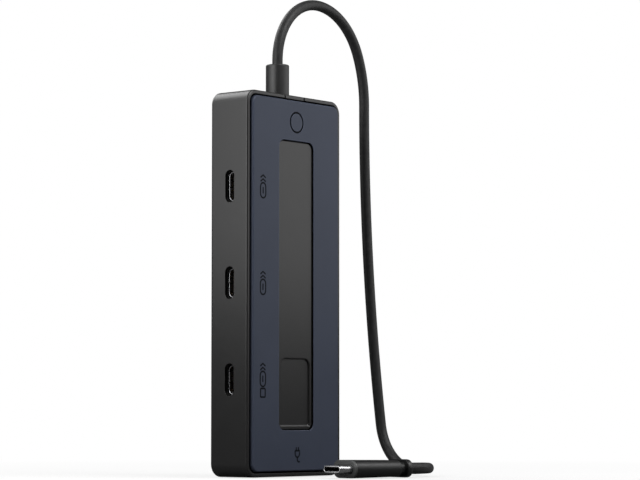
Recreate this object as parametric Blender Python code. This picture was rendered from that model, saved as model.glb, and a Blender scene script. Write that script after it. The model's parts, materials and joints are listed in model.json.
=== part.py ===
"""A slim USB-C multiport hub standing on its end, with its captive cable and plug.

Frame: +Z up the hub's length, the navy face towards -Y, the three side ports on -X, the cable out of the
top end and the power port in the bottom end. Lengths are in millimetres, with Y counted from the middle
of the ports. add_object turns them into metres and moves Y=0 forward to the solid part of the bottom
end, so that the origin lies on the casing, on the ground.
"""

import bmesh
import bpy
import numpy as np
from math import acos, cos, pi, radians, sin, sqrt
from mathutils import Vector

MM = 0.001
ORIGIN_Y = -4.4          # the frame's origin, counted from the middle of the ports
GAP = 0.3                # clearance between neighbouring pieces
CORNER_STEPS = 6         # segments in each rounded corner
SMALL_STEPS = 3          # the same, on small pieces
ROUND_STEPS = 24         # segments round a turned piece

# Casing
HUB_W = 45.5             # X
HUB_L = 118.0            # Z
FACE_Y = -7.0            # front of the rim
BACK_Y = 7.8             # back of the casing
CORNER_R = 4.0
RIM_T = 1.2              # rim beside the groove
WALL_T = 2.4
BACK_T = 1.8
LEDGE_Y = -5.6           # shelf that the cover sits over
CUT_OVER = 0.2           # how far a cutter starts outside the face it cuts
FOOT_SIZE = (30.0, 7.0)
FOOT_R = 3.4
FOOT_T = 1.0
FOOT_EDGE = 0.4
FOOT_ZS = {"low": 14.5, "high": 103.5}

# Slot in the top end for the cable, and the gate that closes it
SLOT_HALF_W = 5.0
SLOT_DEEP = 3.1
GATE_HALF_W = 4.7
GATE_T = 2.55
GATE_EDGE = 0.25
NECK_SLOT = 3.15

# Cover and the panel in its window
COVER_W = 41.8
COVER_LOW = 1.7
COVER_HIGH = 116.3
COVER_R = 2.4
COVER_TOP_Y = -7.8
COVER_UNDER_Y = -5.9
SKIRT_Y = -4.4
WINDOW_W = 16.8
WINDOW_LOW = 14.2
WINDOW_HIGH = 103.7
WINDOW_R = 2.4
LIP_UNDER_Y = -7.1       # underside of the thin lip round the window
REBATE = 1.6
PANEL_Y = -7.25           # the raised face, standing in the window
PANEL_T = 2.05
PANEL_STEP = 0.45        # from the raised face back to the flange under the lip
PANEL_INSET = 0.35       # shadow line between the raised face and the window's edge
POCKET_HALF_W = 7.0
POCKET_LOW = 15.2
POCKET_HIGH = 36.1
POCKET_DEPTH = 0.55
POCKET_SLOPE = 0.7       # height of the sloping lower edge
POCKET_LOW_R = 0.8
POCKET_HIGH_R = 2.3
EMBLEM_Z = 109.5
EMBLEM_R = 3.4
EMBLEM_LINE = 0.65

# USB-C receptacles
PORT_HEIGHTS = {"upper": 88.5, "middle": 59.0, "lower": 29.5}
PORT_MOUTH = (9.95, 3.6)
PORT_THROAT = (9.3, 3.1)
PORT_THROAT_IN = 0.4
PORT_WALL = 1.3          # wall left in front of a receptacle
PORT_POCKET = (10.6, 4.4)
SHELL_OUT = (8.94, 3.26)
SHELL_WALL = 0.3
SHELL_LENGTH = 7.4
SHELL_BACK = 0.5
TONGUE = (6.7, 0.7)
TONGUE_REACH = 4.6
TONGUE_BASE = 1.4

# Board and what stands on it
BOARD_W = 37.0
BOARD_LOW = 3.4
BOARD_HIGH = 107.0
BOARD_FRONT = 1.95
BOARD_T = 1.0
SCREW_X = 15.0
SCREW_ZS = (14.5, 97.5)
SCREW_R = 0.8
SCREW_HEAD_R = 1.7
SCREW_HEAD_T = 0.9
SCREW_LENGTH = 4.0
BOSS_R = 2.3
BOSS_BORE_R = 1.1
BOSS_BORE_DEPTH = 3.1
COMPONENTS = {           # look, X from and to, how far it stands up, Z from and to, chamfer, corner radius
    "hub_controller": ("chip", (1.0, 11.0), 0.9, (52.0, 62.0), 0.15, 0.4),
    "power_controller": ("chip", (3.0, 9.0), 0.8, (17.5, 23.5), 0.15, 0.4),
    "display_switch": ("chip", (-8.5, -3.5), 0.8, (37.0, 42.0), 0.15, 0.4),
    "flash_memory": ("chip", (3.0, 8.2), 1.4, (70.5, 75.5), 0.2, 0.15),
    "clock_crystal": ("tin", (-7.5, -4.3), 0.7, (71.5, 74.0), 0.12, 0.5),
    "power_inductor": ("ferrite", (-8.0, -1.5), 2.8, (20.5, 27.0), 0.5, 1.2),
    "input_capacitor": ("ceramic", (-8.0, -4.8), 1.6, (13.5, 15.2), 0.15, 0.2),
    "output_capacitor": ("ceramic", (10.8, 14.0), 1.6, (30.0, 31.7), 0.15, 0.2),
    "cable_header": ("black", (-5.5, 5.5), 3.25, (98.5, 104.0), 0.2, 0.4),
}
CAN_CENTRE = (6.0, 57.0)
CAN_SIZE = 15.0
CAN_WALL = 0.3
CAN_TALL = 2.6
PAD_X = (1.5, 10.5)
PAD_Z = (52.5, 61.5)
PAD_T = 0.7
PAD_LIFT = 1.2           # from the chips' feet to the underside of the pad

# Cable
CABLE_R = 1.65
BOOT_R = 3.65
BOOT_TOP = 128.2
BOOT_NECK_R = 2.8
BOOT_FLANGE_R = 3.9
CABLE_SIDES = 12
CABLE_ROW = 3.6          # longest stretch between two rings in a bend
END_GAP = 0.15           # from a joint to the tip of each rounded end
CRIMP_LOW = 108.2
CRIMP_HIGH = 111.4
CRIMP_WALL = 0.5

# The cable's centre line: straights and arcs, each tangent to the one before, starting upwards inside the
# casing. Each has a length, the azimuth and climb in degrees that it ends up facing, and a number of links.
PLUG_SPIN = 166.5        # azimuth that the plug faces
CABLE_START_Z = 105.0
CABLE_ROUTE = {
    "rise": (24.6, 0.0, 90.0, 1),
    "arch_up": (31.4, 0.0, 0.0, 3),
    "arch_over": (26.5, 0.0, -66.0, 2),
    "arch_down": (16.8, 0.0, -90.0, 1),
    "drop": (104.0, -97.5, -81.8, 3),
    "landing": (24.2, -105.0, 2.5, 1),
    "floor_loop": (31.0, PLUG_SPIN, 0.0, 5),
}

# Plug, measured from the back of its collar towards its tip
COLLAR_LENGTH = 3.2
COLLAR_SIZE = (11.6, 5.5)
OVERMOLD_FROM = 5.4
OVERMOLD_TO = 22.9
OVERMOLD_REAR = (11.0, 5.0)
OVERMOLD_FRONT = (11.3, 5.44)
NECK_SIZE = (8.4, 3.6)
FACE_PLATE_TO = 23.8
PLUG_SHELL = (8.25, 2.4)
PLUG_SHELL_WALL = 0.25
PLUG_SHELL_TIP = 28.6
PLUG_SHELL_ROOT = 20.3
PLUG_BOARD = (7.6, 0.8)
CAVITY_LENGTH = 6.2      # room for the board behind the shell


def clear_scene():
    for obj in list(bpy.data.objects):
        bpy.data.objects.remove(obj, do_unlink=True)


def material(name, colour, roughness, metallic=0.0):
    made = bpy.data.materials.new(name)
    made.use_nodes = True
    shader = made.node_tree.nodes["Principled BSDF"]
    shader.inputs["Base Color"].default_value = (*colour, 1.0)
    shader.inputs["Roughness"].default_value = roughness
    shader.inputs["Metallic"].default_value = metallic
    return made


def in_frame(point):
    """A place in millimetres, counted from the middle of the ports, as metres from the frame's origin."""
    return Vector((point[0], point[1] - ORIGIN_Y, point[2])) * MM


def add_object(name, points, faces, look, origin=(0.0, 0.0, 0.0), parent=None, smooth=False):
    """One closed mesh, from points in millimetres measured from origin, or from the parent's origin."""
    mesh = bpy.data.meshes.new(name)
    mesh.from_pydata([Vector(p) * MM for p in points], [], faces)
    shaped = bmesh.new()
    shaped.from_mesh(mesh)
    bmesh.ops.recalc_face_normals(shaped, faces=shaped.faces)
    shaped.to_mesh(mesh)
    shaped.free()
    if smooth:
        mesh.shade_smooth()
        mesh.set_sharp_from_angle(angle=radians(35))
    obj = bpy.data.objects.new(name, mesh)
    obj.parent = parent
    obj.location = (0.0, 0.0, 0.0) if parent else in_frame(origin)
    if look:
        mesh.materials.append(look)
    bpy.context.scene.collection.objects.link(obj)
    return obj


def loft(rings, ring_round=False):
    """Points and faces of the skin over rings of equal length, capped at both ends or joined round."""
    count = len(rings[0])
    points = [point for ring in rings for point in ring]
    faces = []
    pairs = len(rings) if ring_round else len(rings) - 1
    for i in range(pairs):
        here = i * count
        there = (i + 1) % len(rings) * count
        for k in range(count):
            after = (k + 1) % count
            faces.append((here + k, here + after, there + after, there + k))
    if not ring_round:
        faces.append(tuple(range(count)))
        faces.append(tuple(range(len(points) - count, len(points))))
    return points, faces


def rounded(corners, radii, steps):
    """A convex outline, counter-clockwise, with each corner turned into an arc."""
    outline = []
    total = len(corners)
    for i, radius in enumerate(radii):
        corner = Vector(corners[i])
        before = (Vector(corners[i - 1]) - corner).normalized()
        after = (Vector(corners[(i + 1) % total]) - corner).normalized()
        centre = corner + (before + after) * radius
        start = -after * radius
        end = -before * radius
        for k in range(steps + 1):
            turn = k / steps * pi / 2
            outline.append(centre + start * cos(turn) + end * sin(turn))
    return outline


def box_outline(width, height, radius, steps=CORNER_STEPS, centre=(0.0, 0.0)):
    """A rectangle with equal round corners, as points (a, b)."""
    x, y = width / 2, height / 2
    a, b = centre
    radius = min(radius, x - 0.01, y - 0.01)
    corners = ((a - x, b - y), (a + x, b - y), (a + x, b + y), (a - x, b + y))
    return rounded(corners, (radius,) * 4, steps)


def on_xz(outline, y):
    return [(p[0], y, p[1]) for p in outline]


def on_yz(outline, x):
    """An outline whose long side runs up Z, at this X."""
    return [(x, p[1], p[0]) for p in outline]


def on_xy(outline, z):
    return [(p[0], p[1], z) for p in outline]


def cutter(name, points, faces):
    made = add_object(name, points, faces, None)
    made.hide_render = True
    made.display_type = "WIRE"
    return made


def subtract(body, tool):
    change = body.modifiers.new("cut_" + tool.name, "BOOLEAN")
    change.operation = "DIFFERENCE"
    change.object = tool
    change.solver = "EXACT"


def unite(body, tool):
    change = body.modifiers.new("join_" + tool.name, "BOOLEAN")
    change.operation = "UNION"
    change.object = tool
    change.solver = "EXACT"


def lathe(profile, axis="Z", steps=ROUND_STEPS, closed=False):
    """A turned solid from (radius, height) points. An open profile is capped at both ends."""
    rings = []
    for radius, height in profile:
        ring = []
        for k in range(steps):
            turn = 2 * pi * k / steps
            a, b = radius * cos(turn), radius * sin(turn)
            ring.append((a, b, height) if axis == "Z" else (a, height, b))
        rings.append(ring)
    return loft(rings, closed)


def block(name, look, x, y, z, chamfer, corner):
    """A chip-like block between limits x, y and z, with its -Y edges chamfered."""
    centre = ((x[0] + x[1]) / 2, (z[0] + z[1]) / 2)
    width, height = x[1] - x[0], z[1] - z[0]
    whole = box_outline(width, height, corner, SMALL_STEPS, centre)
    top = box_outline(width - 2 * chamfer, height - 2 * chamfer, corner, SMALL_STEPS, centre)
    rings = [on_xz(whole, y[1]), on_xz(whole, y[0] + chamfer), on_xz(top, y[0])]
    return add_object(name, *loft(rings), look)


# Casing --------------------------------------------------------------------------------------------


def casing_outline(inset):
    radius = max(CORNER_R - inset, 1.2)
    centre = (0.0, HUB_L / 2)
    return box_outline(HUB_W - 2 * inset, HUB_L - 2 * inset, radius, CORNER_STEPS, centre)


def port_cutters(name, place):
    """The mouth that shows and the pocket behind it. place(outline, depth) puts an outline at a depth."""
    mouth = box_outline(*PORT_MOUTH, PORT_MOUTH[1] / 2, CORNER_STEPS)
    throat = box_outline(*PORT_THROAT, PORT_THROAT[1] / 2, CORNER_STEPS)
    pocket = box_outline(*PORT_POCKET, 0.8, CORNER_STEPS)
    rings = [place(mouth, -CUT_OVER), place(mouth, 0.02), place(throat, PORT_THROAT_IN)]
    rings.append(place(throat, PORT_WALL + CUT_OVER))
    yield cutter(name + "_mouth_cut", *loft(rings))
    rings = [place(pocket, PORT_WALL), place(pocket, WALL_T + CUT_OVER)]
    yield cutter(name + "_pocket_cut", *loft(rings))


def side_place(height):
    def place(outline, depth):
        return [(x, y, z + height) for x, y, z in on_yz(outline, -HUB_W / 2 + depth)]
    return place


def end_place(outline, depth):
    return on_xy(outline, depth)


def build_casing(look):
    """The tub: one skin over the outside, the rim, the ledge and the inside."""
    levels = (
        (0.6, BACK_Y), (0.18, BACK_Y - 0.18), (0.0, BACK_Y - 0.6), (0.0, FACE_Y + 0.3), (0.3, FACE_Y),
        (RIM_T, FACE_Y), (RIM_T, LEDGE_Y), (WALL_T, LEDGE_Y), (WALL_T, BACK_Y - BACK_T),
    )
    rings = [on_xz(casing_outline(inset), y) for inset, y in levels]
    casing = add_object("lower_housing", *loft(rings), look)

    for name, height in PORT_HEIGHTS.items():
        for tool in port_cutters(name, side_place(height)):
            subtract(casing, tool)
    for tool in port_cutters("power", end_place):
        subtract(casing, tool)

    low, high = HUB_L - WALL_T - 0.5, HUB_L + 0.5
    gate_middle = (0.0, FACE_Y + (SLOT_DEEP - CUT_OVER) / 2)
    gate_side = box_outline(2 * SLOT_HALF_W, SLOT_DEEP + CUT_OVER, 0.05, 1, gate_middle)
    subtract(casing, cutter("gate_cut", *loft([on_xy(gate_side, low), on_xy(gate_side, high)])))
    neck = box_outline(2 * NECK_SLOT, 2 * NECK_SLOT + 1.6, NECK_SLOT - 0.02, CORNER_STEPS, (0.0, -0.8))
    subtract(casing, cutter("neck_cut", *loft([on_xy(neck, low), on_xy(neck, high)])))

    floor = BACK_Y - BACK_T
    top = BOARD_FRONT + BOARD_T + GAP
    for side in (-1, 1):
        for height in SCREW_ZS:
            spot = f"{'left' if side < 0 else 'right'}_{int(height)}"
            boss = cutter("boss_" + spot, *lathe(((BOSS_R, top), (BOSS_R, floor + 0.6)), "Y", 16))
            boss.location = in_frame((side * SCREW_X, 0.0, height))
            unite(casing, boss)
            bore = ((BOSS_BORE_R, top - 0.5), (BOSS_BORE_R, top + BOSS_BORE_DEPTH))
            bore_cut = cutter("bore_" + spot, *lathe(bore, "Y", 16))
            bore_cut.location = boss.location
            subtract(casing, bore_cut)
    return casing


def build_gate(look):
    """The tongue that closes the cable slot, flush with the rim."""
    wide = box_outline(2 * GATE_HALF_W, GATE_T, 0.15, 2, (0.0, FACE_Y + GATE_T / 2))
    rings = [on_xy(wide, HUB_L - RIM_T), on_xy(wide, HUB_L - GATE_EDGE)]
    middle = (0.0, FACE_Y + (GATE_T + GATE_EDGE) / 2)
    narrow = box_outline(2 * GATE_HALF_W - 0.2, GATE_T - GATE_EDGE, 0.15, 2, middle)
    rings.append(on_xy(narrow, HUB_L))
    add_object("cable_gate", *loft(rings), look)


def build_cover(look):
    """The navy face: a plate with a rebated window, a skirt inside the tub and a sunk ring mark."""
    middle = (0.0, (COVER_LOW + COVER_HIGH) / 2)
    window_middle = (0.0, (WINDOW_LOW + WINDOW_HIGH) / 2)

    def outer(inset):
        height = COVER_HIGH - COVER_LOW - 2 * inset
        return box_outline(COVER_W - 2 * inset, height, max(COVER_R - inset, 1.0), CORNER_STEPS, middle)

    def window(grow):
        height = WINDOW_HIGH - WINDOW_LOW + 2 * grow
        return box_outline(WINDOW_W + 2 * grow, height, WINDOW_R + grow, CORNER_STEPS, window_middle)

    rings = [
        on_xz(outer(0.3), COVER_TOP_Y), on_xz(outer(0.0), COVER_TOP_Y + 0.3),
        on_xz(outer(0.0), COVER_UNDER_Y), on_xz(outer(1.9), COVER_UNDER_Y), on_xz(outer(1.9), SKIRT_Y),
        on_xz(outer(2.9), SKIRT_Y), on_xz(outer(2.9), COVER_UNDER_Y),
        on_xz(window(REBATE), COVER_UNDER_Y), on_xz(window(REBATE), LIP_UNDER_Y),
        on_xz(window(0.0), LIP_UNDER_Y), on_xz(window(0.0), COVER_TOP_Y + 0.15),
        on_xz(window(0.15), COVER_TOP_Y),
    ]
    cover = add_object("top_cover", *loft(rings, ring_round=True), look)
    inner, outside = EMBLEM_R - EMBLEM_LINE, EMBLEM_R
    depth = COVER_TOP_Y + 0.2
    profile = ((inner, COVER_TOP_Y - 0.3), (outside, COVER_TOP_Y - 0.3), (outside, depth), (inner, depth))
    mark = cutter("emblem_cut", *lathe(profile, "Y", ROUND_STEPS, closed=True))
    mark.location = in_frame((0.0, 0.0, EMBLEM_Z))
    subtract(cover, mark)


def build_panel(look):
    """The black panel: a flange under the lip, a raised face in the window and a sunk area low on it."""
    grow = REBATE - GAP
    height = WINDOW_HIGH - WINDOW_LOW + 2 * grow
    middle = (0.0, (WINDOW_LOW + WINDOW_HIGH) / 2)
    plate = box_outline(WINDOW_W + 2 * grow, height, WINDOW_R + grow, CORNER_STEPS, middle)
    height = WINDOW_HIGH - WINDOW_LOW - 2 * PANEL_INSET
    radius = WINDOW_R - PANEL_INSET
    raised = box_outline(WINDOW_W - 2 * PANEL_INSET, height, radius, CORNER_STEPS, middle)
    rings = [on_xz(plate, PANEL_Y + PANEL_T), on_xz(plate, PANEL_Y + PANEL_STEP)]
    rings += [on_xz(raised, PANEL_Y + PANEL_STEP), on_xz(raised, PANEL_Y)]
    panel = add_object("centre_panel", *loft(rings), look)

    def pocket(low, y):
        corners = ((-POCKET_HALF_W, low), (POCKET_HALF_W, low), (POCKET_HALF_W, POCKET_HIGH))
        corners += ((-POCKET_HALF_W, POCKET_HIGH),)
        radii = (POCKET_LOW_R, POCKET_LOW_R, POCKET_HIGH_R, POCKET_HIGH_R)
        return on_xz(rounded(corners, radii, CORNER_STEPS), y)

    rings = [pocket(POCKET_LOW, PANEL_Y - 0.3), pocket(POCKET_LOW, PANEL_Y)]
    rings.append(pocket(POCKET_LOW + POCKET_SLOPE, PANEL_Y + POCKET_DEPTH))
    subtract(panel, cutter("pocket_cut", *loft(rings)))


def build_feet(look):
    """Two rubber strips across the back."""
    width, height = FOOT_SIZE
    near = BACK_Y + GAP
    for end, z in FOOT_ZS.items():
        pad = box_outline(width, height, FOOT_R, CORNER_STEPS, (0.0, z))
        crown_size = (width - 2 * FOOT_EDGE, height - 2 * FOOT_EDGE)
        crown = box_outline(*crown_size, FOOT_R - FOOT_EDGE, CORNER_STEPS, (0.0, z))
        rings = [on_xz(pad, near), on_xz(pad, near + FOOT_T - FOOT_EDGE), on_xz(crown, near + FOOT_T)]
        add_object("rubber_foot_" + end, *loft(rings), look)


# Receptacles ---------------------------------------------------------------------------------------


def build_receptacle(name, place, shell_look, tongue_look):
    """A metal cup and the contact tongue in it. place(outline, depth) counts depth from the casing's face."""
    front = PORT_WALL + GAP
    outer = box_outline(*SHELL_OUT, SHELL_OUT[1] / 2, CORNER_STEPS)
    bore = (SHELL_OUT[0] - 2 * SHELL_WALL, SHELL_OUT[1] - 2 * SHELL_WALL)
    inner = box_outline(*bore, bore[1] / 2, CORNER_STEPS)
    back = front + SHELL_LENGTH
    rings = [place(outer, back), place(outer, front), place(inner, front), place(inner, back - SHELL_BACK)]
    add_object(name + "_port_shell", *loft(rings), shell_look, smooth=True)

    root = back - SHELL_BACK - GAP
    base = box_outline(bore[0] - 2 * GAP, bore[1] - 2 * GAP, 0.9, CORNER_STEPS)
    tongue = box_outline(*TONGUE, 0.2, CORNER_STEPS)
    tip = box_outline(TONGUE[0] - 0.5, TONGUE[1] - 0.3, 0.15, CORNER_STEPS)
    end = root - TONGUE_BASE - TONGUE_REACH
    rings = [place(base, root), place(base, root - TONGUE_BASE), place(tongue, root - TONGUE_BASE)]
    rings += [place(tongue, end + 0.4), place(tip, end)]
    add_object(name + "_port_tongue", *loft(rings), tongue_look)


# Electronics ---------------------------------------------------------------------------------------


def build_board(looks):
    centre = (0.0, (BOARD_LOW + BOARD_HIGH) / 2)
    outline = box_outline(BOARD_W, BOARD_HIGH - BOARD_LOW, 1.5, SMALL_STEPS, centre)
    rings = [on_xz(outline, BOARD_FRONT), on_xz(outline, BOARD_FRONT + BOARD_T)]
    board = add_object("main_board", *loft(rings), looks["board"])
    hole = ((SCREW_R + GAP, BOARD_FRONT - 0.5), (SCREW_R + GAP, BOARD_FRONT + BOARD_T + 0.5))
    for side in (-1, 1):
        for height in SCREW_ZS:
            spot = f"{'left' if side < 0 else 'right'}_{'low' if height < HUB_L / 2 else 'high'}"
            drill = cutter("drill_" + spot, *lathe(hole, "Y", 16))
            drill.location = in_frame((side * SCREW_X, 0.0, height))
            subtract(board, drill)
            head = BOARD_FRONT - GAP - SCREW_HEAD_T
            profile = (
                (0.9, head + 0.5), (0.9, head), (SCREW_HEAD_R - 0.4, head), (SCREW_HEAD_R, head + 0.4),
                (SCREW_HEAD_R, head + SCREW_HEAD_T), (SCREW_R, head + SCREW_HEAD_T),
                (SCREW_R, head + SCREW_LENGTH), (SCREW_R - 0.3, head + SCREW_LENGTH + 0.4),
            )
            where = (side * SCREW_X, 0.0, height)
            add_object("board_screw_" + spot, *lathe(profile, "Y", 16), looks["steel"], where)

    top = BOARD_FRONT - GAP
    for name, (kind, x, tall, z, chamfer, corner) in COMPONENTS.items():
        block(name, looks[kind], x, (top - tall, top), z, chamfer, corner)
    pad = (top - PAD_LIFT - PAD_T, top - PAD_LIFT)
    block("thermal_pad", looks["pad"], PAD_X, pad, PAD_Z, 0.05, 0.3)

    can = box_outline(CAN_SIZE, CAN_SIZE, 0.8, SMALL_STEPS, CAN_CENTRE)
    inside = box_outline(CAN_SIZE - 2 * CAN_WALL, CAN_SIZE - 2 * CAN_WALL, 0.6, SMALL_STEPS, CAN_CENTRE)
    lid = top - CAN_TALL
    rings = [on_xz(can, lid), on_xz(can, top), on_xz(inside, top), on_xz(inside, lid + CAN_WALL)]
    add_object("shield_can", *loft(rings), looks["tin"])


# Cable ---------------------------------------------------------------------------------------------


def pointing(azimuth, climb):
    turn, rise = radians(azimuth), radians(climb)
    return np.array((cos(turn) * cos(rise), sin(turn) * cos(rise), sin(rise)))


class Path:
    """Straights and arcs, each tangent to the one before, read by distance along them."""

    def __init__(self, start, heading, route):
        self.stretches = []
        self.stops = []
        self.length = 0.0
        point = np.array(start)
        for length, azimuth, climb, links in route:
            goal = pointing(azimuth, climb)
            turn = acos(min(1.0, heading.dot(goal)))
            side = goal - heading * heading.dot(goal)
            side = side / max(np.linalg.norm(side), 1e-9)
            self.stretches.append((self.length, length, turn, point, heading, side))
            self.stops += [self.length + length * (k + 1) / links for k in range(links)]
            self.length += length
            point, heading = self.at(self.length), self.heading(self.length)

    def stretch(self, distance):
        found = [stretch for stretch in self.stretches if stretch[0] <= distance]
        return found[-1]

    def at(self, distance):
        start, length, turn, point, heading, side = self.stretch(distance)
        gone = distance - start
        angle = turn * gone / length
        if turn < 1e-6:
            return point + heading * gone
        return point + length / turn * (heading * sin(angle) + side * (1 - cos(angle)))

    def heading(self, distance):
        start, length, turn, point, heading, side = self.stretch(distance)
        angle = turn * (distance - start) / length
        return heading * cos(angle) + side * sin(angle)


def ring_round(centre, heading, side, radius):
    """A ring square to the heading, and the sideways direction to start the next ring from."""
    side = side - heading * side.dot(heading)
    side /= np.linalg.norm(side)
    other = np.cross(heading, side)
    turns = [2 * pi * k / CABLE_SIDES for k in range(CABLE_SIDES)]
    return [tuple(centre + radius * (side * cos(t) + other * sin(t))) for t in turns], side


def cable_link(name, look, path, start, end, round_start=True, round_end=True):
    """A length of cable with half-ball ends, each tip END_GAP from its joint. Its origin is at start."""
    dome = [(share, 1 - sqrt(1 - share * share)) for share in (0.12, 0.55, 0.87, 1.0)]
    rows = []
    first = start + END_GAP if round_start else start
    last = end - END_GAP if round_end else end
    if round_start:
        rows += [(first + CABLE_R * reach, CABLE_R * radius) for radius, reach in dome]
    else:
        rows.append((first, CABLE_R))
    body_from, body_to = rows[-1][0], last - (CABLE_R if round_end else 0.0)
    count = max(1, int((body_to - body_from) / CABLE_ROW))
    straight = path.heading(body_from).dot(path.heading(body_to)) > 0.995
    count = min(count, 3) if straight else count
    rows += [(body_from + (body_to - body_from) * k / count, CABLE_R) for k in range(1, count)]
    if round_end:
        rows += [(last - CABLE_R * reach, CABLE_R * radius) for radius, reach in reversed(dome)]
    else:
        rows.append((last, CABLE_R))
    origin = path.at(start)
    side = np.array((0.0, 1.0, 0.0))
    rings = []
    for distance, radius in rows:
        ring, side = ring_round(path.at(distance) - origin, path.heading(distance), side, radius)
        rings.append(ring)
    add_object(name, *loft(rings), look, origin, smooth=True)


def build_boot(look):
    """The strain relief: a flange inside the wall, a neck through it and the sleeve above."""
    bore = CABLE_R + GAP
    top = BOOT_TOP
    inner = HUB_L - WALL_T - GAP
    profile = (
        (bore, inner - 1.6), (BOOT_FLANGE_R, inner - 1.6), (BOOT_FLANGE_R, inner), (BOOT_NECK_R, inner),
        (BOOT_NECK_R, HUB_L + GAP), (BOOT_R, HUB_L + GAP), (BOOT_R, top - 0.5), (BOOT_R - 0.15, top - 0.15),
        (BOOT_R - 0.5, top), (bore, top),
    )
    add_object("strain_relief_boot", *lathe(profile, "Z", ROUND_STEPS, closed=True), look, smooth=True)


def build_cable(look, metal):
    path = Path((0.0, 0.0, CABLE_START_Z), pointing(0.0, 90.0), CABLE_ROUTE.values())
    stops = path.stops
    cable_link("cable_root", look, path, 0.0, stops[0], round_start=False)
    for i in range(len(stops) - 1):
        cable_link(f"cable_link_{i + 1:02d}", look, path, stops[i], stops[i + 1])
    bore = CABLE_R + GAP
    outer = bore + CRIMP_WALL
    profile = ((bore, CRIMP_LOW), (outer, CRIMP_LOW), (outer, CRIMP_HIGH), (bore, CRIMP_HIGH))
    add_object("cable_crimp", *lathe(profile, "Z", 16, closed=True), metal)
    return path


# Plug ----------------------------------------------------------------------------------------------


def plug_ring(size, x, radius=None, steps=CORNER_STEPS):
    """A ring of this width and thickness across the plug, x from the back of the collar."""
    radius = size[1] / 2 if radius is None else radius
    return [(x, p[0], p[1]) for p in box_outline(*size, radius, steps)]


def build_plug(looks, path):
    pivot = bpy.data.objects.new("plug_pivot", None)
    pivot.location = in_frame(path.at(path.length))
    pivot.rotation_euler = (0.0, 0.0, radians(PLUG_SPIN))
    bpy.context.scene.collection.objects.link(pivot)

    def add(name, rings, look, ring_round=False, smooth=False):
        points, faces = loft(rings, ring_round)
        add_object(name, points, faces, look, parent=pivot, smooth=smooth)

    back = END_GAP + GAP
    small = (COLLAR_SIZE[0] - 4.6, COLLAR_SIZE[1] - 1.6)
    rings = [plug_ring(small, back), plug_ring(COLLAR_SIZE, back + 1.3)]
    rings.append(plug_ring(COLLAR_SIZE, COLLAR_LENGTH))
    add("plug_collar", rings, looks["black"])

    def shrink(size, by):
        return (size[0] - by, size[1] - by)

    cavity = (PLUG_SHELL[0] + 2 * GAP, PLUG_SHELL[1] + 2 * GAP)
    floor = PLUG_SHELL_ROOT - CAVITY_LENGTH
    rings = [
        plug_ring(NECK_SIZE, COLLAR_LENGTH + GAP), plug_ring(NECK_SIZE, OVERMOLD_FROM),
        plug_ring(shrink(OVERMOLD_REAR, 0.8), OVERMOLD_FROM), plug_ring(OVERMOLD_REAR, OVERMOLD_FROM + 0.5),
        plug_ring(OVERMOLD_FRONT, OVERMOLD_TO), plug_ring(cavity, OVERMOLD_TO), plug_ring(cavity, floor),
    ]
    add("plug_overmold", rings, looks["black"])

    near = OVERMOLD_TO + GAP
    rings = [
        plug_ring(OVERMOLD_FRONT, near), plug_ring(OVERMOLD_FRONT, FACE_PLATE_TO - 0.35),
        plug_ring(shrink(OVERMOLD_FRONT, 0.5), FACE_PLATE_TO), plug_ring(cavity, FACE_PLATE_TO),
        plug_ring(cavity, near),
    ]
    add("plug_front_plate", rings, looks["grey"], ring_round=True)

    bore = shrink(PLUG_SHELL, 2 * PLUG_SHELL_WALL)
    rings = [
        plug_ring(PLUG_SHELL, PLUG_SHELL_ROOT), plug_ring(PLUG_SHELL, PLUG_SHELL_TIP - 0.2),
        plug_ring(shrink(PLUG_SHELL, 0.25), PLUG_SHELL_TIP), plug_ring(bore, PLUG_SHELL_TIP),
        plug_ring(bore, PLUG_SHELL_ROOT),
    ]
    add("plug_shell", rings, looks["steel"], ring_round=True, smooth=True)

    carrier = shrink(bore, 2 * 0.15)
    hollow = shrink(carrier, 0.7)
    rings = [
        plug_ring(carrier, PLUG_SHELL_ROOT + 0.2), plug_ring(carrier, PLUG_SHELL_TIP - 0.9),
        plug_ring(hollow, PLUG_SHELL_TIP - 0.9), plug_ring(hollow, PLUG_SHELL_ROOT + 2.6),
    ]
    add("plug_contact_carrier", rings, looks["black"])

    ends = (floor + GAP, PLUG_SHELL_ROOT - GAP)
    rings = [plug_ring(PLUG_BOARD, x, 0.1, SMALL_STEPS) for x in ends]
    add("plug_board", rings, looks["board"])


def main():
    clear_scene()
    looks = {
        "housing": material("housing_plastic", (0.030, 0.030, 0.031), 0.42),
        "navy": material("navy_plastic", (0.034, 0.040, 0.064), 0.48),
        "panel": material("panel_plastic", (0.028, 0.028, 0.029), 0.38),
        "black": material("black_plastic", (0.016, 0.016, 0.017), 0.45),
        "grey": material("plate_plastic", (0.090, 0.092, 0.090), 0.42),
        "rubber": material("foot_rubber", (0.018, 0.018, 0.018), 0.85),
        "sheath": material("cable_sheath", (0.016, 0.016, 0.017), 0.55),
        "steel": material("bright_steel", (0.62, 0.62, 0.64), 0.25, 1.0),
        "tin": material("tinned_steel", (0.50, 0.51, 0.52), 0.38, 1.0),
        "board": material("circuit_board", (0.010, 0.065, 0.032), 0.50),
        "chip": material("chip_resin", (0.014, 0.014, 0.015), 0.60),
        "ferrite": material("grey_ferrite", (0.070, 0.070, 0.075), 0.70),
        "ceramic": material("tan_ceramic", (0.300, 0.200, 0.120), 0.50),
        "pad": material("thermal_silicone", (0.200, 0.330, 0.420), 0.80),
        "tongue": material("tongue_resin", (0.012, 0.012, 0.012), 0.40),
    }
    build_casing(looks["housing"])
    build_gate(looks["housing"])
    build_cover(looks["navy"])
    build_panel(looks["panel"])
    build_feet(looks["rubber"])
    for name, height in PORT_HEIGHTS.items():
        build_receptacle(name, side_place(height), looks["steel"], looks["tongue"])
    build_receptacle("power", end_place, looks["steel"], looks["tongue"])
    build_board(looks)
    build_boot(looks["black"])
    path = build_cable(looks["sheath"], looks["tin"])
    build_plug(looks, path)


main()
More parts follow.
